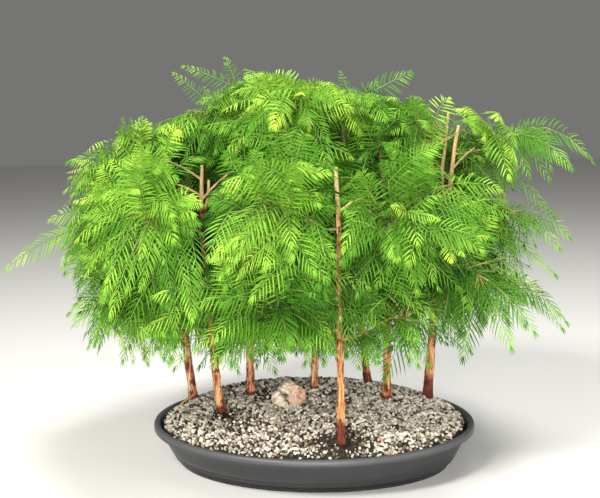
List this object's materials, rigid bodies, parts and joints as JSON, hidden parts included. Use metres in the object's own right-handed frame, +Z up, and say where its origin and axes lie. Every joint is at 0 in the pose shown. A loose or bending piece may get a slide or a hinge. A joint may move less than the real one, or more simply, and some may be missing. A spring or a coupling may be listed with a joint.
{
  "type": "bonsai forest",
  "caption": "Dawn redwood bonsai forest of slim upright trees with feathery foliage on a gritty mound in a shallow oval tray.",
  "frame": {"origin": "middle of the tray's flat underside, on the surface it stands on", "axes": "+X along the tray's length to the right of the showing side, -Y toward the viewer of the showing side, +Z up"},
  "size_m": [0.7076, 0.4454, 0.4786],
  "materials": {
    "tray_plastic": "satin charcoal",
    "grit": "rough light grey grit",
    "stone": "rough pale beige",
    "bark": "peeling orange-brown bark",
    "foliage": "soft green needles"
  },
  "bodies": {
    "root": {"bough_back_a": "bark", "bough_back_b": "bark", "bough_front_a": "bark", "bough_front_c": "bark", "bough_front_left_a": "bark", "bough_front_left_b": "bark", "bough_left_a": "bark", "bough_left_d": "bark", "bough_middle_b": "bark", "bough_middle_c": "bark", "bough_middle_left_b": "bark", "bough_middle_left_c": "bark", "bough_middle_right_a": "bark", "bough_right_b": "bark", "bough_right_c": "bark", "bough_right_d": "bark", "bough_right_e": "bark", "foliage_back_a": "foliage", "foliage_back_b": "foliage", "foliage_back_c": "foliage", "foliage_back_d": "foliage", "foliage_front_a": "foliage", "foliage_front_b": "foliage", "foliage_front_c": "foliage", "foliage_front_d": "foliage", "foliage_front_left_a": "foliage", "foliage_front_left_b": "foliage", "foliage_front_left_c": "foliage", "foliage_left_a": "foliage", "foliage_left_b": "foliage", "foliage_left_c": "foliage", "foliage_left_d": "foliage", "foliage_middle_a": "foliage", "foliage_middle_b": "foliage", "foliage_middle_c": "foliage", "foliage_middle_d": "foliage", "foliage_middle_left_a": "foliage", "foliage_middle_left_b": "foliage", "foliage_middle_left_c": "foliage", "foliage_middle_left_d": "foliage", "foliage_middle_right_a": "foliage", "foliage_middle_right_b": "foliage", "foliage_middle_right_c": "foliage", "foliage_right_a": "foliage", "foliage_right_b": "foliage", "foliage_right_c": "foliage", "foliage_right_d": "foliage", "foliage_right_e": "foliage", "grit_mound": "grit", "stone": "stone", "tray": "tray_plastic", "trunk_back": "bark", "trunk_front": "bark", "trunk_front_left": "bark", "trunk_left": "bark", "trunk_middle": "bark", "trunk_middle_left": "bark", "trunk_middle_right": "bark", "trunk_right": "bark"}
  },
  "joints": []
}
